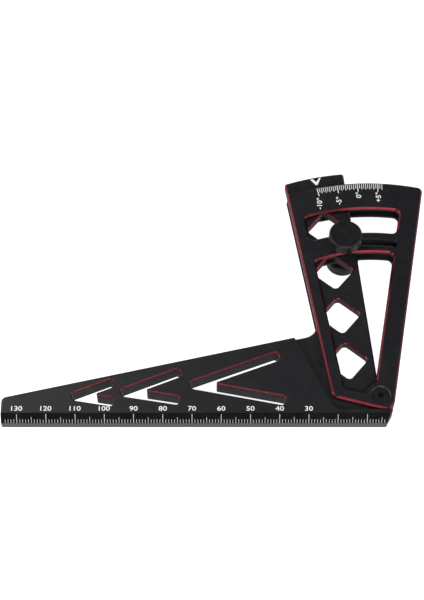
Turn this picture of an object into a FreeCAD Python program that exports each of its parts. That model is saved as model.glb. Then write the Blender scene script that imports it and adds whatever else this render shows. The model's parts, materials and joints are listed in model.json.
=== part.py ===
"""Camber and bevel gauge: a graduated stock with a fixed arm, and a forked swing frame on a pivot.

Design space: the pivot axis is Z at the origin, the plates lie about the middle plane Z = 0, the
graduated face looks along +Z and the datum edge of the stock is parallel to X, below the pivot.
An edge is written ("line", lean, offset): it leans `lean` degrees to the left of +Y and passes
`offset` to the left of the pivot. ("ring", radius) is a circle about the pivot.
"""
import FreeCAD, Part
import math
import os
import re
import Sketcher

SIZES = {
    # stock
    "plate_thickness": 6.6,     # stock and swing frame
    "rule_length": 135.5,       # scale zero to the far end of the stock
    "floor_height": 3.8,        # datum edge to the stock's floor below the frame
    "far_end_height": 8.25,     # height of the stock at its far end
    "wing_slope": 13.1,         # rise of the stock's upper edge, degrees
    "step_clearance": 0.3,      # full-thickness stock to the frame's side at the upper stop
    "floor_clearance": 0.6,     # full-thickness stock to the frame's foot
    "step_round": 3.0,
    "end_slope": 28.9,          # near end of the stock, degrees from upright
    "end_reach": 6.1,
    "far_corner_round": 1.8,
    "edge_height": 3.2,         # flat height of the datum edge
    "bevel_width": 2.4,         # bevel that carries the graduations
    "stock_chamfer": 0.4,
    "chevron_margin": 3.0,      # least metal between a chevron and the step
    "chevron_end_round": 1.1,
    "chevron_tip_round": 1.75,
    "island_round": 0.5,
    "chevron_chamfer": 0.3,
    # fixed arm
    "arm_overhang": 5.6,        # arm's top beyond the frame's top
    "arm_inset": 0.3,           # arm's left edge inside the frame's left edge at rest
    "arm_right_lean": 5.4,
    "arm_root_round": 5.0,
    "arm_corner_round": 1.0,
    "arm_chamfer": 0.5,
    "eye_wall": 1.8,            # metal of the arm around the sleeve
    "window_side": 10.6,
    "window_round": 1.6,
    "window_pitch": 18.25,
    "window_top": 24.1,         # arm's top to the middle of the top window
    "window_lowest": 14.0,      # least distance of a window from the pivot
    "window_offset": 9.45,      # line of the windows, left of the pivot
    "window_lean": 5.35,
    "window_chamfer": 0.35,
    # swing frame
    "rest_tilt": 10.0,          # lean of the measuring edge in the resting position
    "edge_offset": 5.1,         # pivot axis to measuring edge
    "frame_radius": 88.2,
    "frame_left_lean": 19.4,
    "frame_left_offset": 16.4,
    "frame_foot_lean": 84.9,
    "frame_foot_offset": 4.8,
    "frame_chamfer": 0.6,
    "top_round": 2.0,
    "shoulder_round": 0.9,
    "heel_round": 3.0,
    "toe_round": 3.6,
    "side_beam": 4.6,
    "foot_beam": 4.5,
    "edge_beam": 7.3,
    "scale_band": 11.6,         # rim that carries the arc scale
    "slot_band_above": 2.6,     # metal on each side of the clamp slot
    "slot_band_below": 2.3,
    "frame_eye": 5.5,           # radius left around the pivot in the lower opening
    "opening_round": 2.0,
    "eye_blend": 1.0,
    "fork_cheek": 1.6,         # thickness of each side of the fork
    "side_clearance": 0.05,
    "fork_wall": 3.7,           # solid part of the right-hand beam
    "fork_clearance": 0.3,
    # clamp
    "clamp_inset": 26.2,        # frame's top edge to the clamp axis
    "clamp_angle": 9.2,
    "swing_up": 16.0,           # travel from rest, degrees
    "stop_margin": 0.4,
    "slot_clearance": 0.6,
    "stud_diameter": 3.0,
    "thread_clearance": 0.03,
    "washer_band": 2.0,
    "washer_thickness": 0.5,
    "seat_gap": 0.05,
    "hub_wall": 2.0,
    "hub_height": 1.3,
    "knob_diameter": 11.9,
    "knob_thickness": 4.9,
    "knob_chamfer": 0.5,
    "knob_cap": 1.4,
    "knurl_depth": 0.28,
    "knurl_count": 48.0,
    # pivot
    "pivot_screw_diameter": 3.0,
    "sleeve_wall": 0.7,
    "sleeve_clearance": 0.04,
    "sink_land": 0.3,           # countersink inside the sleeve's radius at the fork's inner face
    "head_drop": 0.3,
    "sink_clearance": 0.03,
    "shank_clearance": 0.05,
    "socket_width": 2.0,
    "socket_depth": 1.1,
    "driver_slot": 0.8,
}

# Chevrons: sharp left corner from the far end and datum edge, reach of each bar, its angle, its width.
CHEVRON_SIZES = ("from_end", "height", "upper", "lower", "rise", "fall", "width")
CHEVRONS = {
    "chevron_1": (19.4, 8.1, 19.7, 19.2, 22.4, 9.6, 3.3),
    "chevron_2": (36.3, 9.6, 26.4, 24.9, 22.4, 9.6, 3.4),
    "chevron_3": (60.1, 12.7, 37.3, 37.8, 21.0, 11.3, 3.5),
}

# Sizes that follow from others.
FOLLOWING = {
    "pivot_height": "frame_foot_offset + floor_clearance + floor_height",
    "fork_gap": "plate_thickness - 2 * fork_cheek",
    "tongue_thickness": "fork_gap - 2 * side_clearance",
    "arm_radius": "frame_radius + arm_overhang",
    "last_window": "arm_radius - window_top",
    "upper_outer": "frame_radius - scale_band",
    "clamp_radius": "frame_radius - clamp_inset",
    "slot_width": "stud_diameter + slot_clearance",
    "upper_inner": "clamp_radius + slot_width / 2 + slot_band_above",
    "lower_outer": "clamp_radius - slot_width / 2 - slot_band_below",
    "washer_diameter": "stud_diameter + 2 * washer_band",
    "hub_diameter": "stud_diameter + 2 * hub_wall",
    "sleeve_diameter": "pivot_screw_diameter + 2 * sleeve_wall",
    "tongue_eye": "sleeve_diameter / 2 + eye_wall",
    "sink_diameter": "sleeve_diameter + 2 * (fork_cheek - sink_land)",
}

doc = FreeCAD.newDocument("BevelGauge")
sheet = doc.addObject("Spreadsheet::Sheet", "Sizes")
parts = []


def fill_sheet():
    for name, numbers in CHEVRONS.items():
        SIZES.update({f"{name}_{tail}": number for tail, number in zip(CHEVRON_SIZES, numbers)})
    for row, (alias, number) in enumerate(SIZES.items(), 1):
        sheet.set(f"A{row}", alias)
        sheet.set(f"B{row}", str(number))
        sheet.setAlias(f"B{row}", alias)
    doc.recompute()


def bound(expression):
    """The same expression with each size pointing at its cell and the following ones written out."""
    def written(match):
        word = match[0]
        if word in FOLLOWING:
            return f"({bound(FOLLOWING[word])})"
        return f"Sizes.{word}" if word in SIZES else word

    return re.sub(r"[a-z][a-z_0-9]*", written, expression)


def size(expression):
    return float(sheet.evalExpression(bound(expression)))


def polar(radius, angle):
    """Point `angle` degrees to the left of +Y, as a pair of expressions."""
    return f"-({radius}) * sin({angle})", f"({radius}) * cos({angle})"


def meet(first, second):
    """Corner of two edges of an outline."""
    if first[0] == "ring":
        first, second = second, first
    lean, offset = first[1:]
    if second[0] == "ring":
        return polar(second[1], f"({lean}) + asin(({offset}) / ({second[1]})) / (1 deg)")
    lean_b, offset_b = second[1:]
    turn = f"sin(({lean_b}) - ({lean}))"
    x = f"(({offset_b}) * sin({lean}) - ({offset}) * sin({lean_b})) / {turn}"
    y = f"(({offset}) * cos({lean_b}) - ({offset_b}) * cos({lean})) / {turn}"
    return x, y


def corners_of(edges):
    return [meet(edges[i - 1], edges[i]) for i in range(len(edges))]


def xy(corner):
    return FreeCAD.Vector(size(corner[0]), size(corner[1]), 0)


def new_body(name):
    body = doc.addObject("PartDesign::Body", name)
    body.Label = name
    parts.append(body)
    return body


def new_sketch(body, name, plane="XY_Plane"):
    sketch = body.newObject("Sketcher::SketchObject", name)
    origin = [f for f in body.Origin.OriginFeatures if f.Role == plane][0]
    sketch.AttachmentSupport = [(origin, "")]
    sketch.MapMode = "FlatFace"
    doc.recompute()
    return sketch


def pin(sketch, kind, geometry, point, expression):
    """Hold one coordinate of a point at an expression, whatever its sign."""
    number = size(expression)
    if number < 0:
        index = sketch.addConstraint(Sketcher.Constraint(kind, geometry, point, -1, 1, -number))
        sketch.setExpression(f"Constraints[{index}]", f"-({bound(expression)})")
    else:
        index = sketch.addConstraint(Sketcher.Constraint(kind, -1, 1, geometry, point, number))
        sketch.setExpression(f"Constraints[{index}]", bound(expression))


def add_ring_arc(sketch, start, end, radius):
    first = math.atan2(start.y, start.x)
    last = math.atan2(end.y, end.x)
    turn = (last - first + math.pi) % (2 * math.pi) - math.pi
    circle = Part.Circle(FreeCAD.Vector(), FreeCAD.Vector(0, 0, 1), size(radius))
    low, high = (first, first + turn) if turn > 0 else (last, last - turn)
    index = sketch.addGeometry(Part.ArcOfCircle(circle, low, high))
    sketch.addConstraint(Sketcher.Constraint("Coincident", index, 3, -1, 1))
    held = sketch.addConstraint(Sketcher.Constraint("Radius", index, size(radius)))
    sketch.setExpression(f"Constraints[{held}]", bound(radius))
    return index, (1, 2) if turn > 0 else (2, 1)


def draw_loop(sketch, edges):
    """Closed outline from its edges; each corner is where two neighbouring edges meet."""
    corners = corners_of(edges)
    count = len(edges)
    drawn = []
    for i, edge in enumerate(edges):
        start, end = xy(corners[i]), xy(corners[(i + 1) % count])
        if edge[0] == "ring":
            drawn.append(add_ring_arc(sketch, start, end, edge[1]))
        else:
            drawn.append((sketch.addGeometry(Part.LineSegment(start, end)), (1, 2)))
    for i in range(count):
        here, ends = drawn[i]
        before, ends_before = drawn[i - 1]
        sketch.addConstraint(Sketcher.Constraint("Coincident", before, ends_before[1], here, ends[0]))
        on_ring = "ring" in (edges[i][0], edges[i - 1][0])
        line, line_ends = (here, ends[0]) if edges[i][0] == "line" else (before, ends_before[1])
        hold_point(sketch, line, line_ends, corners[i], on_ring)
    return corners


def hold_point(sketch, geometry, end, corner, on_ring):
    point = xy(corner)
    along_x = abs(point.y) >= abs(point.x)
    if along_x or not on_ring:
        pin(sketch, "DistanceX", geometry, end, corner[0])
    if not along_x or not on_ring:
        pin(sketch, "DistanceY", geometry, end, corner[1])


def draw_polygon(sketch, corners):
    count = len(corners)
    points = [xy(c) for c in corners]
    lines = [sketch.addGeometry(Part.LineSegment(points[i], points[(i + 1) % count])) for i in range(count)]
    for i in range(count):
        sketch.addConstraint(Sketcher.Constraint("Coincident", lines[i - 1], 2, lines[i], 1))
        hold_point(sketch, lines[i], 1, corners[i], False)


def draw_circle(sketch, centre, radius):
    circle = Part.Circle(xy(centre), FreeCAD.Vector(0, 0, 1), size(radius))
    index = sketch.addGeometry(circle)
    held = sketch.addConstraint(Sketcher.Constraint("Radius", index, size(radius)))
    sketch.setExpression(f"Constraints[{held}]", bound(radius))
    if centre == ("0", "0"):
        sketch.addConstraint(Sketcher.Constraint("Coincident", index, 3, -1, 1))
    else:
        hold_point(sketch, index, 3, centre, False)


def pad(body, name, sketch, length):
    """Plate of the given thickness about the sketch's plane."""
    feature = body.newObject("PartDesign::Pad", name)
    feature.Profile = sketch
    feature.Midplane = True
    feature.setExpression("Length", bound(length))
    doc.recompute()
    return feature


def pocket(body, name, sketch, length=None):
    """Cut about the sketch's plane, right through unless a length is given."""
    before = body.Shape.Volume
    feature = body.newObject("PartDesign::Pocket", name)
    feature.Profile = sketch
    feature.Midplane = True
    if length is None:
        feature.Type = "ThroughAll"
    else:
        feature.setExpression("Length", bound(length))
    doc.recompute()
    if body.Shape.Volume > before - 1e-3:
        raise ValueError(f"{name} cut nothing")
    return feature


def upright_edges(shape, corners):
    """Names of the edges along Z that stand on the given corners."""
    names = []
    for number, edge in enumerate(shape.Edges, 1):
        ends = [v.Point for v in edge.Vertexes]
        if len(ends) != 2 or (ends[0] - ends[1]).Length < 1e-6:
            continue
        if math.hypot(ends[0].x - ends[1].x, ends[0].y - ends[1].y) > 1e-4:
            continue
        if any(math.hypot(ends[0].x - xy(c).x, ends[0].y - xy(c).y) < 1e-3 for c in corners):
            names.append(f"Edge{number}")
    return names


def level_edges(shape, heights, wanted):
    """Names of the edges lying at one of the heights whose middle passes the test."""
    names = []
    for number, edge in enumerate(shape.Edges, 1):
        first, last = edge.ParameterRange
        points = [edge.valueAt(first + (last - first) * share) for share in (0.02, 0.5, 0.98)]
        if any(all(abs(p.z - height) < 1e-4 for p in points) for height in heights) and wanted(points[1]):
            names.append(f"Edge{number}")
    return names


def round_corners(body, name, corners, radius):
    base = body.Tip
    feature = body.newObject("PartDesign::Fillet", name)
    feature.Base = (base, upright_edges(base.Shape, corners))
    feature.setExpression("Radius", bound(radius))
    doc.recompute()
    return feature


def chamfer(body, name, edges, width):
    base = body.Tip
    feature = body.newObject("PartDesign::Chamfer", name)
    feature.Base = (base, edges)
    feature.setExpression("Size", bound(width))
    doc.recompute()
    return feature


def faces_z(thickness):
    return [size(thickness) / 2, -size(thickness) / 2]


def everywhere(point):
    return True


# Edges that more than one outline shares.
TOP_LINE = ("line", "wing_slope - 90",
            "(rule_length - edge_offset) * sin(wing_slope) + (far_end_height - pivot_height) * cos(wing_slope)")
TOP_LEAN = "(frame_left_lean + swing_up - rest_tilt)"
STEP_LINE = ("line", TOP_LEAN, "frame_left_offset + step_clearance")
FLOOR_LINE = ("line", "90", "frame_foot_offset + floor_clearance")
DATUM_LINE = ("line", "90", "pivot_height")
FAR_END = ("line", "0", "rule_length - edge_offset")
NEAR_END = ("line", "-end_slope", "-end_reach")
ARM_LEFT = ("line", "frame_left_lean - rest_tilt", "frame_left_offset - arm_inset")
ARM_RIGHT = ("line", "arm_right_lean", "0")
ARM_TOP = ("ring", "arm_radius")
STUD_SPOT = polar("clamp_radius", "clamp_angle")


def chevron_corners(name):
    """A '<' of two bars that meet at the left; round ends come from the corner fillets."""
    rise, fall, width = f"{name}_rise", f"{name}_fall", f"{name}_width"
    x, y = f"edge_offset - rule_length + {name}_from_end", f"{name}_height - pivot_height"
    corner = (x, y)
    upper_end = (f"{x} + {name}_upper * cos({rise})", f"{y} + {name}_upper * sin({rise})")
    lower_end = (f"{x} + {name}_lower * cos({fall})", f"{y} - {name}_lower * sin({fall})")
    upper_in = (f"{upper_end[0]} + {width} * sin({rise})", f"{upper_end[1]} - {width} * cos({rise})")
    lower_in = (f"{lower_end[0]} + {width} * sin({fall})", f"{lower_end[1]} + {width} * cos({fall})")
    reach = f"{width} / sin(({rise} + {fall}) / 2)"
    half = f"(({rise} - {fall}) / 2)"
    island = (f"{x} + {reach} * cos{half}", f"{y} + {reach} * sin{half}")
    return [corner, lower_end, lower_in, island, upper_in, upper_end]


def chevrons_in_wing():
    """Chevrons in a row from the far end, as many as leave the margin before the step."""
    loops = [chevron_corners(name) for name in CHEVRONS]
    margin = size("chevron_margin")
    return [loop for loop in loops if min(beyond(xy(corner), STEP_LINE) for corner in loop) > margin]


def arm_windows():
    """Centres of the square windows, in a row down the arm, as many as it has room for."""
    count = 1 + math.floor(size("(last_window - window_lowest) / window_pitch"))
    centres = []
    for i in range(count):
        along = f"(last_window - {i} * window_pitch)"
        centres.append((f"-window_offset * cos(window_lean) - {along} * sin(window_lean)",
                        f"-window_offset * sin(window_lean) + {along} * cos(window_lean)"))
    return centres


def window_corners(centre):
    """A square standing on one corner, its diagonals along and across the arm."""
    half = "window_side / sqrt(2)"
    along = (f"-({half}) * sin(window_lean)", f"({half}) * cos(window_lean)")
    across = (f"({half}) * cos(window_lean)", f"({half}) * sin(window_lean)")
    return [(f"{centre[0]} + {sign} * {way[0]}", f"{centre[1]} + {sign} * {way[1]}")
            for sign, way in ((1, along), (1, across), (-1, along), (-1, across))]


def build_stock():
    body = new_body("stock")
    inner = ("line", TOP_LEAN, "frame_left_offset + step_clearance + 5")
    under = ("line", "90", "frame_foot_offset + floor_clearance + 1")
    eye_side = ("line", "-rest_tilt", "-tongue_eye")
    tongue = [TOP_LINE, ARM_LEFT, ARM_TOP, ARM_RIGHT, ("ring", "tongue_eye"), eye_side, under, inner]
    sketch = new_sketch(body, "tongue_outline")
    corners = draw_loop(sketch, tongue)
    pad(body, "tongue_plate", sketch, "tongue_thickness")
    round_corners(body, "arm_root", [corners[1]], "arm_root_round")
    round_corners(body, "arm_corners", corners[2:4], "arm_corner_round")
    eye_y = size("tongue_eye")
    rim = level_edges(body.Shape, faces_z("tongue_thickness"),
                      lambda p: p.y > eye_y + 0.5 and not lies_on(p, inner))
    chamfer(body, "arm_chamfers", rim, "arm_chamfer")

    sketch = new_sketch(body, "rule_outline")
    rule = [TOP_LINE, STEP_LINE, FLOOR_LINE, NEAR_END, DATUM_LINE, FAR_END]
    corners = draw_loop(sketch, rule)
    pad(body, "rule_plate", sketch, "plate_thickness")
    round_corners(body, "step_corner", [corners[2]], "step_round")
    round_corners(body, "far_corner", [corners[0]], "far_corner_round")
    bevel = new_sketch(body, "bevel_outline", "YZ_Plane")
    low, high = "edge_height - plate_thickness / 2", "plate_thickness / 2"
    draw_polygon(bevel, [("-pivot_height", low), ("bevel_width - pivot_height", high), ("-pivot_height", high)])
    pocket(body, "graduated_bevel", bevel)
    sides = level_edges(body.Shape, faces_z("plate_thickness"), outside_rim)
    chamfer(body, "stock_chamfers", sides, "stock_chamfer")

    sketch = new_sketch(body, "chevron_outlines")
    loops = chevrons_in_wing()
    for loop in loops:
        draw_polygon(sketch, loop)
    pocket(body, "chevron_cuts", sketch)
    round_corners(body, "chevron_end_rounds", [loop[k] for loop in loops for k in (1, 2, 4, 5)],
                  "chevron_end_round")
    round_corners(body, "chevron_tip_rounds", [loop[0] for loop in loops], "chevron_tip_round")
    round_corners(body, "island_rounds", [loop[3] for loop in loops], "island_round")
    rim = level_edges(body.Shape, faces_z("plate_thickness"), lambda p: in_a_chevron(p, loops))
    chamfer(body, "chevron_chamfers", rim, "chevron_chamfer")

    sketch = new_sketch(body, "window_outlines")
    squares = [window_corners(centre) for centre in arm_windows()]
    for square in squares:
        draw_polygon(sketch, square)
    pocket(body, "window_cuts", sketch)
    round_corners(body, "window_rounds", [c for square in squares for c in square], "window_round")
    rim = level_edges(body.Shape, faces_z("tongue_thickness"), near_a_window)
    chamfer(body, "window_chamfers", rim, "window_chamfer")

    sketch = new_sketch(body, "bore_outlines")
    draw_circle(sketch, ("0", "0"), "sleeve_diameter / 2 + sleeve_clearance")
    draw_circle(sketch, STUD_SPOT, "stud_diameter / 2")
    pocket(body, "bores", sketch)


def beyond(point, line):
    """Distance of a point to the left of a line."""
    lean, offset = math.radians(size(line[1])), size(line[2])
    return -math.cos(lean) * point.x - math.sin(lean) * point.y - offset


def lies_on(point, line):
    return abs(beyond(point, line)) < 0.05


def outside_rim(point):
    """Upper edge, far end, its rounded corner and the near end: not the step, floor or datum edge."""
    if point.y < size("bevel_width - pivot_height") + 0.05:
        return False
    near_corner = (point - xy(meet(FAR_END, TOP_LINE))).Length < size("far_corner_round") + 3
    return near_corner or any(lies_on(point, line) for line in (TOP_LINE, FAR_END, NEAR_END))


def in_a_chevron(point, loops):
    low = min(xy(loop[0]).x for loop in loops) - 1
    high = max(xy(loop[k]).x for loop in loops for k in (2, 4)) + 1
    if not low < point.x < high or outside_rim(point):
        return False
    return point.y > size("bevel_width - pivot_height") + 0.5 and not lies_on(point, STEP_LINE)


def near_a_window(point):
    reach = size("window_side") / math.sqrt(2)
    flat = FreeCAD.Vector(point.x, point.y, 0)
    return any((flat - xy(centre)).Length < reach + 0.1 for centre in arm_windows())


def build_swing_frame():
    body = new_body("swing_frame")
    measuring = ("line", "0", "-edge_offset")
    left = ("line", "frame_left_lean", "frame_left_offset")
    foot = ("line", "frame_foot_lean", "frame_foot_offset")
    sketch = new_sketch(body, "frame_outline")
    corners = draw_loop(sketch, [measuring, ("ring", "frame_radius"), left, foot])
    pad(body, "frame_plate", sketch, "plate_thickness")
    for name, corner, radius in (("toe", 0, "toe_round"), ("top", 1, "top_round"),
                                 ("shoulder", 2, "shoulder_round"), ("heel", 3, "heel_round")):
        round_corners(body, f"{name}_corner", [corners[corner]], radius)

    right_in = ("line", "0", "edge_beam - edge_offset")
    left_in = ("line", "frame_left_lean", "frame_left_offset - side_beam")
    foot_in = ("line", "frame_foot_lean", "frame_foot_offset - foot_beam")
    sketch = new_sketch(body, "opening_outlines")
    upper = draw_loop(sketch, [right_in, ("ring", "upper_outer"), left_in, ("ring", "upper_inner")])
    lower = draw_loop(sketch, [right_in, ("ring", "lower_outer"), left_in, foot_in, ("ring", "frame_eye")])
    pocket(body, "opening_cuts", sketch)
    round_corners(body, "opening_rounds", upper + lower[1:4], "opening_round")
    round_corners(body, "eye_rounds", [lower[0], lower[4]], "eye_blend")
    chamfer(body, "frame_chamfers", level_edges(body.Shape, faces_z("plate_thickness"), everywhere),
            "frame_chamfer")

    sketch = new_sketch(body, "fork_outline")
    wall = ("line", "0", "fork_wall - edge_offset")
    eye_wall = ("line", "0", "-(tongue_eye + fork_clearance)")
    above = ("line", "-90", "frame_radius + 5")
    aside = ("line", "0", "frame_radius")
    below = ("line", "90", "frame_radius / 4")
    draw_loop(sketch, [wall, above, aside, below, eye_wall, ("ring", "tongue_eye + fork_clearance")])
    pocket(body, "fork_cut", sketch, "fork_gap")

    cut_clamp_slot(body)
    cut_sink(body, "front_sink", 1, "pivot_screw_diameter / 2 + shank_clearance")
    cut_sink(body, "rear_sink", -1, "sleeve_diameter / 2 + shank_clearance")
    body.Placement.Rotation = FreeCAD.Rotation(FreeCAD.Vector(0, 0, 1), -size("rest_tilt"))


def cut_clamp_slot(body):
    """Arc slot that lets the stud pass from the resting position to the upper stop."""
    ends = ["clamp_angle + rest_tilt + stop_margin", "clamp_angle + rest_tilt - swing_up - stop_margin"]
    sketch = new_sketch(body, "clamp_slot_outline")
    draw_loop(sketch, [("line", ends[1], "0"), ("ring", "clamp_radius + slot_width / 2"),
                       ("line", ends[0], "0"), ("ring", "clamp_radius - slot_width / 2")])
    pocket(body, "clamp_slot", sketch)
    sketch = new_sketch(body, "clamp_slot_end_outlines")
    for end in ends:
        draw_circle(sketch, polar("clamp_radius", end), "slot_width / 2")
    pocket(body, "clamp_slot_ends", sketch)


def cut_sink(body, name, side, bore):
    """Right-angled countersink and bore about the pivot axis, in the front or the rear plate."""
    sketch = new_sketch(body, f"{name}_outline", "XZ_Plane")
    face, radius = f"{side} * plate_thickness / 2", "sink_diameter / 2"
    cone_end = f"{side} * (plate_thickness / 2 - {radius} + {bore})"
    inside = f"{side} * fork_gap / 8"
    draw_polygon(sketch, [("0", face), (radius, face), (bore, cone_end), (bore, inside), ("0", inside)])
    before = body.Shape.Volume
    groove = body.newObject("PartDesign::Groove", name)
    groove.Profile = sketch
    groove.ReferenceAxis = (sketch, ["V_Axis"])
    groove.Angle = 360
    doc.recompute()
    if body.Shape.Volume > before - 1e-3:
        raise ValueError(f"{name} cut nothing")


def turned_body(name, corners):
    """Body turned about its own Z axis from a half section."""
    body = new_body(name)
    sketch = new_sketch(body, f"{name}_section", "XZ_Plane")
    draw_polygon(sketch, corners)
    turned = body.newObject("PartDesign::Revolution", f"{name}_turned")
    turned.Profile = sketch
    turned.ReferenceAxis = (sketch, ["V_Axis"])
    turned.Angle = 360
    doc.recompute()
    return body


def build_pivot():
    """Countersunk socket screw from the front, in a countersunk sleeve nut from the rear."""
    top = "plate_thickness / 2 - head_drop"
    head = "sink_diameter / 2 - head_drop - sink_clearance"
    shank = "pivot_screw_diameter / 2"
    screw_end = "driver_slot + 0.7 + head_drop - plate_thickness / 2"
    head_end = f"{top} - ({head}) + {shank}"
    screw = turned_body("pivot_screw", [
        ("0", top), (head, top), (shank, head_end),
        (shank, f"{screw_end} + 0.3"), (f"{shank} - 0.3", screw_end), ("0", screw_end)])
    sketch = new_sketch(screw, "socket_outline")
    sketch.AttachmentOffset = FreeCAD.Placement(FreeCAD.Vector(0, 0, size(top)), FreeCAD.Rotation())
    sketch.setExpression("AttachmentOffset.Base.z", bound(top))
    draw_polygon(sketch, [polar("socket_width / sqrt(3)", str(60 * i + 30)) for i in range(6)])
    pocket(screw, "socket", sketch, "socket_depth * 2")

    bottom = "head_drop - plate_thickness / 2"
    outer = "sleeve_diameter / 2"
    sleeve_end = f"{head_end} - shank_clearance"
    bore = "pivot_screw_diameter / 2 + thread_clearance"
    floor = f"{screw_end} - 0.15"
    sleeve = turned_body("pivot_sleeve", [
        ("0", bottom), (head, bottom), (outer, f"{bottom} + ({head}) - {outer}"),
        (outer, sleeve_end), (bore, sleeve_end), (bore, floor), ("0", floor)])
    sketch = new_sketch(sleeve, "driver_slot_outline", "XZ_Plane")
    half = "driver_slot / 2"
    deep = f"{bottom} + 0.6"
    draw_polygon(sketch, [(f"-{half}", f"{bottom} - 1"), (half, f"{bottom} - 1"), (half, deep), (f"-{half}", deep)])
    pocket(sleeve, "driver_slot", sketch)
    for body in (screw, sleeve):
        body.Placement.Rotation = FreeCAD.Rotation(FreeCAD.Vector(0, 0, 1), -size("rest_tilt"))


def stack(*layers):
    """Height above the middle plane of what lies on the frame's face."""
    return " + ".join(("plate_thickness / 2",) + layers)


def build_clamp():
    """Stud through the arm, with a washer and a knurled knob on each side of the frame."""
    spot = xy(STUD_SPOT)
    stud_end = stack("seat_gap * 2", "washer_thickness", "hub_height", "knob_thickness", "-knob_cap", "-0.4")
    stud = "stud_diameter / 2"
    half_section = [("0", f"-({stud_end})"), (f"{stud} - 0.3", f"-({stud_end})"), (stud, f"-({stud_end}) + 0.3"),
                    (stud, f"{stud_end} - 0.3"), (f"{stud} - 0.3", stud_end), ("0", stud_end)]
    body = turned_body("clamp_stud", half_section)
    body.Placement.Base = spot
    for name, flip in (("front", 0), ("rear", 180)):
        placement = FreeCAD.Placement(spot, FreeCAD.Rotation(FreeCAD.Vector(1, 0, 0), flip))
        build_washer(f"{name}_washer").Placement = placement
        build_knob(f"{name}_knob").Placement = placement


def build_washer(name):
    low = stack("seat_gap")
    high = f"{low} + washer_thickness"
    inner, outer = "stud_diameter / 2 + 0.08", "washer_diameter / 2"
    return turned_body(name, [(inner, low), (outer, low), (outer, high), (inner, high)])


def build_knob(name):
    low = stack("seat_gap * 2", "washer_thickness")
    base = f"{low} + hub_height"
    top = f"{base} + knob_thickness"
    bore, hub, rim = "stud_diameter / 2 + thread_clearance", "hub_diameter / 2", "knob_diameter / 2"
    roof = f"{top} - knob_cap"
    body = turned_body(name, [
        (bore, low), (hub, low), (hub, base), (f"{rim} - knob_chamfer", base), (rim, f"{base} + knob_chamfer"),
        (rim, f"{top} - knob_chamfer"), (f"{rim} - knob_chamfer", top), ("0", top), ("0", roof), (bore, roof)])
    sketch = new_sketch(body, f"{name}_knurl_outline")
    tip = f"{rim} - knurl_depth"
    draw_polygon(sketch, [(tip, "0.0001"), (f"{rim} + 0.1", "-0.42 * knob_diameter * 3.1416 / 2 / knurl_count"),
                          (f"{rim} + 0.1", "0.42 * knob_diameter * 3.1416 / 2 / knurl_count")])
    groove = pocket(body, f"{name}_knurl_groove", sketch)
    pattern = body.newObject("PartDesign::PolarPattern", f"{name}_knurl")
    pattern.Originals = [groove]
    pattern.Axis = (sketch, ["N_Axis"])
    pattern.Angle = 360
    pattern.setExpression("Occurrences", bound("knurl_count"))
    body.Tip = pattern
    doc.recompute()
    return body


def set_origin():
    """Move the origin to the middle of the footprint, at the lowest point of the rear knob."""
    doc.recompute()
    box = FreeCAD.BoundBox()
    for part in parts:
        box.add(part.Shape.optimalBoundingBox(False, False))
    shift = FreeCAD.Placement(FreeCAD.Vector(-box.Center.x, -box.Center.y, -box.ZMin), FreeCAD.Rotation())
    for part in parts:
        part.Placement = shift.multiply(part.Placement)
    doc.recompute()
    print("pivot axis at", [round(v, 4) for v in shift.Base], "size", box.XLength, box.YLength, box.ZLength)


def check_all():
    for item in doc.Objects:
        if any(word in item.State for word in ("Invalid", "Error")):
            raise ValueError(f"{item.Name} failed: {item.State}")
    for part in parts:
        if part.Shape.isNull() or not part.Shape.isValid() or len(part.Shape.Solids) != 1:
            raise ValueError(f"{part.Label} is not one valid solid")


fill_sheet()
build_stock()
build_swing_frame()
build_pivot()
build_clamp()
set_origin()
check_all()
os.makedirs("parts", exist_ok=True)
for part in parts:
    part.Shape.exportStep(f"parts/{part.Label}.step")
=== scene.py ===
"""Looks, markings, light and camera of the bevel angle gauge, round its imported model.

Lengths are in metres. The gauge lies level with its graduated front face up: +Y runs from the datum
edge up the arm. A ray of the swing frame is named by its angle to the left of +Y, in degrees.
"""

import json
import math

import bmesh
import bpy
from mathutils import Matrix, Vector


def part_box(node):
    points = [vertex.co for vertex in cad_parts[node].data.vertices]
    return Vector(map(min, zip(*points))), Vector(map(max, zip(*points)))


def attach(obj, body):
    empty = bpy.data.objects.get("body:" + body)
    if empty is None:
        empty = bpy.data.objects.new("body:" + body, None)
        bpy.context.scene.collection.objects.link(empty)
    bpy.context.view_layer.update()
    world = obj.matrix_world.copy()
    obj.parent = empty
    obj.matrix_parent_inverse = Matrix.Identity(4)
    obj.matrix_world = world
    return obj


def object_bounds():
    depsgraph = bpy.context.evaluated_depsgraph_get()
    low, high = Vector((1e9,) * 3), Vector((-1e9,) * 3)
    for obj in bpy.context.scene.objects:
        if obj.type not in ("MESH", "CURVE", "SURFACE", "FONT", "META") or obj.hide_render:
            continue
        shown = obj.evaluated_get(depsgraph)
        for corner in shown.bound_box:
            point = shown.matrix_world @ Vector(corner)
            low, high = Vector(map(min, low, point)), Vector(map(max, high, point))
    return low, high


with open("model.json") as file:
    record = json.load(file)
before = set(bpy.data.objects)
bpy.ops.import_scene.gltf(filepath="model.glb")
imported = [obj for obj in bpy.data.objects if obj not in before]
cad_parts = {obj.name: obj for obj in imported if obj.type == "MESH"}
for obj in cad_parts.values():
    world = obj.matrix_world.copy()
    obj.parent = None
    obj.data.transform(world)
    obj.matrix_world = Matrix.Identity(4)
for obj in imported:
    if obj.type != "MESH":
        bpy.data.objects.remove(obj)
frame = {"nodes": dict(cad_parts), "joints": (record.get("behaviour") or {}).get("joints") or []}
nodes = frame["nodes"]
cad_low, cad_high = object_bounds()

MM = 0.001
PAINT = 0.02 * MM            # printed markings stand this far above their surface
SINK = 0.01 * MM             # and reach this far below it

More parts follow.
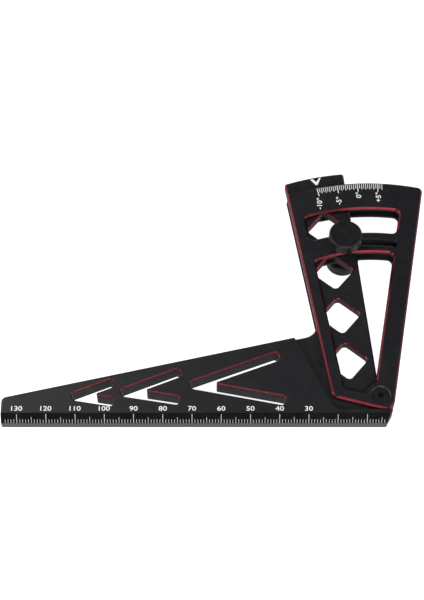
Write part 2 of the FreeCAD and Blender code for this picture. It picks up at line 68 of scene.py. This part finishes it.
stock_low, stock_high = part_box("stock")
RULE_LENGTH = 135.5 * MM
ZERO = Vector((stock_low.x + RULE_LENGTH, stock_low.y, stock_low.z))   # scale zero, datum edge, back
FRONT = stock_high.z
TONGUE_THICKNESS = 3.3 * MM  # of the arm and the stock's floor, inside the frame's fork
TONGUE_FACE = (stock_low.z + stock_high.z + TONGUE_THICKNESS) / 2
PIVOT = Vector(next(j["pos_m"] for j in frame["joints"] if j["name"] == "frame_swing"))
EDGE_HEIGHT = 3.2 * MM       # of the rule's flat edge
BEVEL_WIDTH = 2.4 * MM
POINTER_ANGLE = 12.6         # of the arm's pointer, and of the -10 mark at rest
REST_TILT = 10.0             # at rest the scale's zero lies this far to the right of the pointer


# ---------------------------------------------------------------- materials

def new_material(name):
    material = bpy.data.materials.new(name)
    material.use_nodes = True
    shader = material.node_tree.nodes["Principled BSDF"]
    return material, material.node_tree, shader


def set_values(shader, **values):
    for key, value in values.items():
        shader.inputs[key.replace("_", " ")].default_value = value


def add_noise(tree, scale, detail=3.0, roughness=0.5, stretch=None):
    """Noise in object coordinates; `scale` is in waves per metre."""
    coordinates = tree.nodes.new("ShaderNodeTexCoord")
    noise = tree.nodes.new("ShaderNodeTexNoise")
    noise.inputs["Scale"].default_value = scale
    noise.inputs["Detail"].default_value = detail
    noise.inputs["Roughness"].default_value = roughness
    if stretch is None:
        tree.links.new(coordinates.outputs["Object"], noise.inputs["Vector"])
    else:
        mapping = tree.nodes.new("ShaderNodeMapping")
        mapping.inputs["Scale"].default_value = stretch
        tree.links.new(coordinates.outputs["Object"], mapping.inputs["Vector"])
        tree.links.new(mapping.outputs["Vector"], noise.inputs["Vector"])
    return noise


def add_ramp(tree, source, stops):
    """Colours blended along `source`; each stop is a position and a colour."""
    ramp = tree.nodes.new("ShaderNodeValToRGB")
    elements = ramp.color_ramp.elements
    while len(elements) < len(stops):
        elements.new(0.5)
    for element, (position, colour) in zip(elements, stops):
        element.position = position
        element.color = (*colour, 1.0)
    tree.links.new(source, ramp.inputs["Fac"])
    return ramp.outputs["Color"]


def add_bump(tree, shader, height, distance, strength):
    bump = tree.nodes.new("ShaderNodeBump")
    bump.inputs["Distance"].default_value = distance
    bump.inputs["Strength"].default_value = strength
    tree.links.new(height, bump.inputs["Height"])
    tree.links.new(bump.outputs["Normal"], shader.inputs["Normal"])


def anodised(name, dark, light, roughness, level, grain=9000.0):
    """Blasted and anodised aluminium: fine grain, faint blotches, slightly worn gloss."""
    material, tree, shader = new_material(name)
    set_values(shader, Metallic=0.0, IOR=1.45, Specular_IOR_Level=level)
    blotch = add_noise(tree, 90.0, 4.0, 0.6)
    colour = add_ramp(tree, blotch.outputs["Fac"], [(0.30, dark), (0.70, light)])
    tree.links.new(colour, shader.inputs["Base Color"])
    wear = add_noise(tree, 420.0, 5.0, 0.65)
    gloss = add_ramp(tree, wear.outputs["Fac"],
                     [(0.30, (roughness - 0.05,) * 3), (0.72, (roughness + 0.07,) * 3)])
    tree.links.new(gloss, shader.inputs["Roughness"])
    fine = add_noise(tree, grain, 2.0, 0.6)
    add_bump(tree, shader, fine.outputs["Fac"], 0.006 * MM, 0.55)
    return material


def red_beyond(tree, red, radius):
    """Red only farther than `radius` from the pivot's axis, and near black within it."""
    coordinates = tree.nodes.new("ShaderNodeTexCoord")
    mapping = tree.nodes.new("ShaderNodeMapping")
    mapping.inputs["Location"].default_value = (-PIVOT.x, -PIVOT.y, 0.0)
    mapping.inputs["Scale"].default_value = (1.0, 1.0, 0.0)
    distance = tree.nodes.new("ShaderNodeVectorMath")
    distance.operation = "LENGTH"
    beyond = tree.nodes.new("ShaderNodeMapRange")
    beyond.inputs["From Min"].default_value = radius - 0.2 * MM
    beyond.inputs["From Max"].default_value = radius + 0.2 * MM
    mix = tree.nodes.new("ShaderNodeMixRGB")
    tree.links.new(coordinates.outputs["Object"], mapping.inputs["Vector"])
    tree.links.new(mapping.outputs["Vector"], distance.inputs[0])
    tree.links.new(distance.outputs["Value"], beyond.inputs["Value"])
    tree.links.new(beyond.outputs["Result"], mix.inputs["Fac"])
    patch = add_noise(tree, 500.0)
    black = add_ramp(tree, patch.outputs["Fac"],
                     [(0.3, (0.012, 0.009, 0.010)), (0.7, (0.022, 0.014, 0.016))])
    tree.links.new(black, mix.inputs["Color1"])
    tree.links.new(red, mix.inputs["Color2"])
    return mix.outputs["Color"]


def bare_red(name, from_pivot=None):
    """Edge cut after blasting and anodised red, with fine cutter marks. `from_pivot` limits the red."""
    material, tree, shader = new_material(name)
    set_values(shader, Metallic=0.85, Specular_IOR_Level=0.5)
    tone = add_noise(tree, 700.0, 3.0, 0.6)
    colour = add_ramp(tree, tone.outputs["Fac"],
                      [(0.25, (0.060, 0.0028, 0.0060)), (0.75, (0.115, 0.0068, 0.0120))])
    if from_pivot is not None:
        colour = red_beyond(tree, colour, from_pivot)
    tree.links.new(colour, shader.inputs["Base Color"])
    marks = add_noise(tree, 2600.0, 2.0, 0.5, stretch=(1.0, 1.0, 6.0))
    gloss = add_ramp(tree, marks.outputs["Fac"], [(0.30, (0.24,) * 3), (0.70, (0.40,) * 3)])
    tree.links.new(gloss, shader.inputs["Roughness"])
    add_bump(tree, shader, marks.outputs["Fac"], 0.008 * MM, 0.5)
    return material


def printed(name, dark, light):
    """Laser-etched or printed marking: matt, slightly uneven."""
    material, tree, shader = new_material(name)
    set_values(shader, Metallic=0.0, Specular_IOR_Level=0.25)
    patch = add_noise(tree, 2200.0, 4.0, 0.65)
    colour = add_ramp(tree, patch.outputs["Fac"], [(0.25, dark), (0.65, light)])
    tree.links.new(colour, shader.inputs["Base Color"])
    gloss = add_ramp(tree, patch.outputs["Fac"], [(0.3, (0.55,) * 3), (0.7, (0.75,) * 3)])
    tree.links.new(gloss, shader.inputs["Roughness"])
    add_bump(tree, shader, patch.outputs["Fac"], 0.01 * MM, 0.4)
    return material


def turned_metal(name, dark, light, roughness, centre, metallic=1.0, level=0.45):
    """Lathe-turned finish: rings about the part's own axis, which is parallel to Z."""
    material, tree, shader = new_material(name)
    set_values(shader, Metallic=metallic, Specular_IOR_Level=level)
    coordinates = tree.nodes.new("ShaderNodeTexCoord")
    mapping = tree.nodes.new("ShaderNodeMapping")
    mapping.inputs["Location"].default_value = (-centre[0], -centre[1], 0.0)
    tree.links.new(coordinates.outputs["Object"], mapping.inputs["Vector"])
    wave = tree.nodes.new("ShaderNodeTexWave")
    wave.wave_type = "RINGS"
    wave.rings_direction = "Z"
    wave.inputs["Scale"].default_value = 900.0
    wave.inputs["Distortion"].default_value = 1.2
    wave.inputs["Detail"].default_value = 2.0
    tree.links.new(mapping.outputs["Vector"], wave.inputs["Vector"])
    patch = add_noise(tree, 350.0, 4.0, 0.6)
    colour = add_ramp(tree, patch.outputs["Fac"], [(0.30, dark), (0.70, light)])
    tree.links.new(colour, shader.inputs["Base Color"])
    gloss = add_ramp(tree, patch.outputs["Fac"],
                     [(0.3, (roughness - 0.05,) * 3), (0.7, (roughness + 0.08,) * 3)])
    tree.links.new(gloss, shader.inputs["Roughness"])
    add_bump(tree, shader, wave.outputs["Fac"], 0.006 * MM, 0.5)
    return material


ARM_RED_FROM = 88.4 * MM     # the arm's right edge is red only on its head, beyond this from the pivot

black_stock = anodised("anodised_black_stock", (0.0065, 0.0065, 0.0080), (0.0105, 0.0102, 0.0120),
                       0.40, 0.42)
black_frame = anodised("anodised_black_frame", (0.0060, 0.0062, 0.0080), (0.0095, 0.0095, 0.0118),
                       0.40, 0.42)
# Upright cut walls: the same anodised black made darker and less glossy, as painted shade for the shade
# inside the openings and slots.
wall_black_painted_shade = anodised("anodised_black_painted_shade_wall", (0.0035, 0.0035, 0.0040), (0.0060, 0.0059, 0.0065),
                      0.45, 0.10)
bevel_black = anodised("anodised_black_bevel", (0.0040, 0.0040, 0.0042), (0.0060, 0.0059, 0.0060),
                       0.16, 0.25, 14000.0)
red_edge = bare_red("anodised_red_edge")
arm_edge = bare_red("anodised_arm_edge", ARM_RED_FROM)
white_print = printed("white_print", (0.62, 0.62, 0.62), (0.86, 0.86, 0.86))
grey_print = printed("grey_print", (0.25, 0.247, 0.243), (0.36, 0.356, 0.35))


def middle_of(node):
    low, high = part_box(node)
    return (low + high) / 2


knob_centre = middle_of("front_knob")
knob_black = turned_metal("knob_black", (0.0085, 0.0085, 0.0088), (0.0130, 0.0129, 0.0133),
                          0.36, knob_centre, 0.0, 0.12)
screw_black = turned_metal("screw_black", (0.010, 0.010, 0.010), (0.020, 0.019, 0.019),
                           0.34, PIVOT, 0.4)
stud_steel = turned_metal("stud_steel", (0.36, 0.36, 0.37), (0.50, 0.50, 0.50), 0.30, knob_centre)
washer_steel = turned_metal("washer_steel", (0.20, 0.20, 0.205), (0.30, 0.30, 0.30),
                            0.36, knob_centre)
NODE_MATERIALS = {
    "stock": [black_stock, red_edge, wall_black_painted_shade, bevel_black, arm_edge],
    "swing_frame": [black_frame, red_edge, wall_black_painted_shade],
    "front_knob": [knob_black],
    "rear_knob": [knob_black],
    "pivot_screw": [screw_black],
    "pivot_sleeve": [screw_black],
    "clamp_stud": [stud_steel],
    "front_washer": [washer_steel],
    "rear_washer": [washer_steel],
}
OWN, RED, PAINTED_SHADE_WALL, BEVEL, ARM_EDGE = range(5)   # places in the lists above
BORE_REACH = 4 * MM          # the frame's bore and countersinks lie nearer than this to the pivot
ARM_EDGE_FROM = 25 * MM      # right-facing chamfers of the stock beyond this are finished as the arm's edge


def face_slot(node, centre, normal):
    """Which of the node's materials a face takes, by where it lies and the way it faces."""
    from_pivot = math.hypot(centre.x - PIVOT.x, centre.y - PIVOT.y)
    in_pivot_bore = node == "swing_frame" and from_pivot < BORE_REACH
    rule_bevel = node == "stock" and normal.y < -0.7 and 0.5 < normal.z < 0.65
    chamfer = 0.68 < abs(normal.z) < 0.73
    faces_right = node == "stock" and normal.x > 0.65 and from_pivot > ARM_EDGE_FROM
    on_datum_edge = centre.y < stock_low.y + 0.5 * MM
    upright = abs(normal.z) <= 0.3
    if node not in ("stock", "swing_frame") or in_pivot_bore:
        return OWN
    if rule_bevel:
        return BEVEL
    if chamfer:
        return ARM_EDGE if faces_right else RED
    if not upright:
        return OWN
    # Upright faces other than the datum edge take the darker wall black, which is painted shade.
    return BEVEL if on_datum_edge else PAINTED_SHADE_WALL


for name, materials in NODE_MATERIALS.items():
    mesh = nodes[name].data
    mesh.materials.clear()
    for material in materials:
        mesh.materials.append(material)
    for face in mesh.polygons:
        face.material_index = face_slot(name, face.center, face.normal)


# ---------------------------------------------------------------- printed markings

def finish_piece(mesh_builder, name, material, body):
    mesh = bpy.data.meshes.new(name)
    bmesh.ops.recalc_face_normals(mesh_builder, faces=mesh_builder.faces)
    mesh_builder.to_mesh(mesh)
    mesh_builder.free()
    mesh.materials.append(material)
    piece = bpy.data.objects.new(name, mesh)
    bpy.context.scene.collection.objects.link(piece)
    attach(piece, body)


def add_prism(builder, outline, origin, across, along, normal):
    """A printed patch: `outline` is in the plane of `across` and `along`, as thick as the ink."""
    rings = []
    for height in (-SINK, PAINT):
        level = origin + normal * height
        rings.append([builder.verts.new(level + across * x + along * y) for x, y in outline])
    low, high = rings
    builder.faces.new(low)
    builder.faces.new(high)
    for i in range(len(outline)):
        j = (i + 1) % len(outline)
        builder.faces.new((low[i], low[j], high[j], high[i]))


def add_tick(builder, origin, across, along, normal, length, width):
    half = width / 2
    outline = [(-half, 0), (half, 0), (half, length), (-half, length)]
    add_prism(builder, outline, origin, across, along, normal)


CAPITAL_SHARE = 0.70         # height of a capital in Blender's own font, as a share of its size


def text_mesh(text, height, boldness):
    """The text as a flat solid in the XY plane, capitals `height` tall, from x = 0 on y = 0."""
    curve = bpy.data.curves.new("lettering", "FONT")
    curve.body = text
    curve.size = height / CAPITAL_SHARE
    curve.offset = boldness
    curve.extrude = (PAINT + SINK) / 2
    curve.resolution_u = 4
    carrier = bpy.data.objects.new("lettering", curve)
    bpy.context.scene.collection.objects.link(carrier)
    bpy.context.view_layer.update()
    drawn = carrier.evaluated_get(bpy.context.evaluated_depsgraph_get())
    mesh = bpy.data.meshes.new_from_object(drawn)
    bpy.data.objects.remove(carrier)
    bpy.data.curves.remove(curve)
    left = min(v.co.x for v in mesh.vertices)
    mesh.transform(Matrix.Translation((-left, 0, (PAINT - SINK) / 2)))
    return mesh


def add_text(builder, text, height, boldness, place, along, stretch):
    """`place` is the text's frame; its origin is the text's start at `along` 0, its end at 1."""
    mesh = text_mesh(text, height, boldness)
    width = max(v.co.x for v in mesh.vertices)
    shift = Matrix.Translation((-along * width * stretch, 0, 0)) @ Matrix.Diagonal((stretch, 1, 1, 1))
    mesh.transform(place @ shift)
    builder.from_mesh(mesh)
    bpy.data.meshes.remove(mesh)


def axes_at(origin, across, along, normal):
    matrix = Matrix((across, along, normal)).transposed().to_4x4()
    matrix.translation = origin
    return matrix


X, Y, Z = Vector((1, 0, 0)), Vector((0, 1, 0)), Vector((0, 0, 1))

RULE_FIRST, RULE_LAST = 4, 134        # millimetres that have a tick
TEN_REACH, FIVE_REACH, ONE_REACH = 2.1 * MM, 1.4 * MM, 0.9 * MM   # of the ticks, across the bevel
TICK_FOOT = 0.10 * MM                 # where they start, up the bevel
TICK_WIDTH, TEN_WIDTH = 0.20 * MM, 0.26 * MM
NUMBERS = range(30, 131, 10)
NUMBER_HEIGHT = 1.72 * MM
NUMBER_BASE = 3.18 * MM               # from the datum edge to the numbers' feet
NUMBER_BOLDNESS, NUMBER_STRETCH = 0.02 * MM, 1.2


def rule_markings():
    slope = Vector((0, BEVEL_WIDTH, FRONT - ZERO.z - EDGE_HEIGHT))
    steep = slope.length / BEVEL_WIDTH
    slope.normalize()
    outward = X.cross(slope)
    ticks = bmesh.new()
    for millimetre in range(RULE_FIRST, RULE_LAST + 1):
        reach = ONE_REACH if millimetre % 5 else FIVE_REACH if millimetre % 10 else TEN_REACH
        width = TICK_WIDTH if millimetre % 10 else TEN_WIDTH
        foot = Vector((ZERO.x - millimetre * MM, ZERO.y, ZERO.z + EDGE_HEIGHT)) + slope * TICK_FOOT
        add_tick(ticks, foot, X, slope, outward, reach * steep - TICK_FOOT, width)
    finish_piece(ticks, "rule_ticks", grey_print, "stock")

    numbers = bmesh.new()
    for number in NUMBERS:
        origin = Vector((ZERO.x - number * MM, ZERO.y + NUMBER_BASE, FRONT))
        place = axes_at(origin, X, Y, Z)
        add_text(numbers, str(number), NUMBER_HEIGHT, NUMBER_BOLDNESS, place, 0.5, NUMBER_STRETCH)
    finish_piece(numbers, "rule_numbers", white_print, "stock")


def ray(angle):
    """Unit vector `angle` degrees to the left of +Y."""
    turn = math.radians(angle)
    return Vector((-math.sin(turn), math.cos(turn), 0))


SCALE_OUTER = 87.4 * MM       # outer ends of the marks, from the pivot
LONG_MARK, DEGREE_MARK, HALF_MARK = 3.3 * MM, 2.4 * MM, 1.9 * MM      # and their lengths
LONG_WIDTH, MARK_WIDTH = 0.30 * MM, 0.22 * MM
LABEL_GAP = {-10: 0.9 * MM, -5: 1.7 * MM, 0: 0.3 * MM, 5: 0.4 * MM}   # from the mark to its label
LABEL_HEIGHT = 1.85 * MM
LABEL_ASIDE = 0.15 * MM       # their middles lie this far to the right of their marks' ends
LABEL_BOLDNESS, LABEL_STRETCH = 0.035 * MM, 1.15
LABEL_ANGLE = -3.0            # every label reads up this ray, whatever its own mark's ray


def arc_markings():
    """Half-degree marks from -10 to +6: the frame reads `r` where mark `r` meets the pointer."""
    centre = Vector((PIVOT.x, PIVOT.y, FRONT))
    marks, labels = bmesh.new(), bmesh.new()
    reads = ray(LABEL_ANGLE)
    caps = Vector((-reads.y, reads.x, 0))
    for half_degree in range(-20, 13):
        reading = half_degree / 2
        out = ray(POINTER_ANGLE - REST_TILT - reading)
        side = Vector((out.y, -out.x, 0))
        length = HALF_MARK if half_degree % 2 else DEGREE_MARK if half_degree % 10 else LONG_MARK
        width = MARK_WIDTH if half_degree % 10 else LONG_WIDTH
        add_tick(marks, centre + out * (SCALE_OUTER - length), side, out, Z, length, width)
        if half_degree % 10 == 0:
            text = "0°" if reading == 0 else f"{reading:+.0f}°"
            end = centre + out * (SCALE_OUTER - LONG_MARK) - reads * LABEL_GAP[reading]
            place = axes_at(end - caps * (LABEL_HEIGHT / 2 + LABEL_ASIDE), reads, caps, Z)
            add_text(labels, text, LABEL_HEIGHT, LABEL_BOLDNESS, place, 1.0, LABEL_STRETCH)
    finish_piece(marks, "arc_marks", white_print, "swing_frame")
    finish_piece(labels, "arc_labels", white_print, "swing_frame")


POINTER_TIP = 90.1 * MM       # from the pivot, out along the pointer's ray
POINTER_ASIDE = 0.7 * MM      # and to the right of that ray


def pointer():
    """White V on the arm's head, its tip towards the scale; `outline` is in millimetres from the tip."""
    out = ray(POINTER_ANGLE)
    side = Vector((out.y, -out.x, 0))
    tip = Vector((PIVOT.x, PIVOT.y, TONGUE_FACE)) + out * POINTER_TIP + side * POINTER_ASIDE
    outline = [(-1.75, 2.85), (-0.80, 2.85), (0.20, 1.30), (1.65, 2.85), (2.30, 2.85),
               (0.35, 0.0), (-0.30, 0.0)]
    builder = bmesh.new()
    add_prism(builder, [(x * MM, y * MM) for x, y in outline], tip, side, out, Z)
    finish_piece(builder, "arm_pointer", white_print, "stock")


rule_markings()
arc_markings()
pointer()


# ---------------------------------------------------------------- floor, light and camera

FLOOR_HALF = 12.0             # metres: its far edge lies close to the horizon
FLOOR_GAP = 0.05 * MM         # below the gauge


def lay_floor():
    """White floor that glows, so the gauge throws almost no shadow on it."""
    material, tree, shader = new_material("floor_pale")
    set_values(shader, Metallic=0.0, Specular_IOR_Level=0.0, Roughness=0.9, Emission_Strength=0.94,
               Emission_Color=(1, 1, 1, 1))
    tone = add_noise(tree, 3.0, 2.0, 0.5)
    colour = add_ramp(tree, tone.outputs["Fac"], [(0.3, (0.50, 0.50, 0.50)), (0.7, (0.53, 0.53, 0.53))])
    tree.links.new(colour, shader.inputs["Base Color"])
    corners = [(-1, -1), (1, -1), (1, 1), (-1, 1)]
    mesh = bpy.data.meshes.new("floor")
    mesh.from_pydata([(x * FLOOR_HALF, y * FLOOR_HALF, 0) for x, y in corners], [], [(0, 1, 2, 3)])
    mesh.materials.append(material)
    floor = bpy.data.objects.new("floor", mesh)
    bpy.context.scene.collection.objects.link(floor)
    floor.location.z = cad_low.z - FLOOR_GAP


def add_softbox(name, place, width, height, watts):
    """A soft rectangular light that points at the scene's origin."""
    light = bpy.data.lights.new(name, "AREA")
    light.shape = "RECTANGLE"
    light.size, light.size_y = width, height
    light.energy = watts
    lamp = bpy.data.objects.new(name, light)
    bpy.context.scene.collection.objects.link(lamp)
    lamp.location = place
    lamp.rotation_euler = (-Vector(place)).to_track_quat("-Z", "Y").to_euler()


def set_world(strength):
    world = bpy.data.worlds.new("studio")
    world.use_nodes = True
    background = world.node_tree.nodes["Background"]
    background.inputs["Color"].default_value = (1, 1, 1, 1)
    background.inputs["Strength"].default_value = strength
    bpy.context.scene.world = world


CAMERA_PLACE = Vector((-2.87, -275.2, 484.2)) * MM
CAMERA_TARGET = Vector((-2.87, -1.0, 7.4)) * MM
LENS = 91.52                  # for a 36 mm sensor along the picture's long side


def set_camera():
    camera = bpy.data.cameras.new("camera")
    camera.lens = LENS
    camera.sensor_width = 36.0
    camera.clip_start, camera.clip_end = 0.01, 20.0
    holder = bpy.data.objects.new("camera", camera)
    bpy.context.scene.collection.objects.link(holder)
    holder.location = CAMERA_PLACE
    holder.rotation_euler = (CAMERA_TARGET - CAMERA_PLACE).to_track_quat("-Z", "Y").to_euler()
    bpy.context.scene.camera = holder


lay_floor()
set_world(0.065)
add_softbox("front", (0.05, -0.80, 0.62), 1.0, 0.45, 9.0)
add_softbox("left", (-0.80, -0.10, 0.40), 0.6, 0.5, 5.0)
add_softbox("right", (0.80, -0.20, 0.40), 0.6, 0.5, 4.0)
add_softbox("left_back", (-0.52, 0.46, 0.88), 0.5, 0.5, 4.4)
add_softbox("left_low", (-0.75, 0.45, 0.12), 0.5, 0.2, 1.5)
set_camera()
bpy.context.scene.view_settings.view_transform = "Standard"
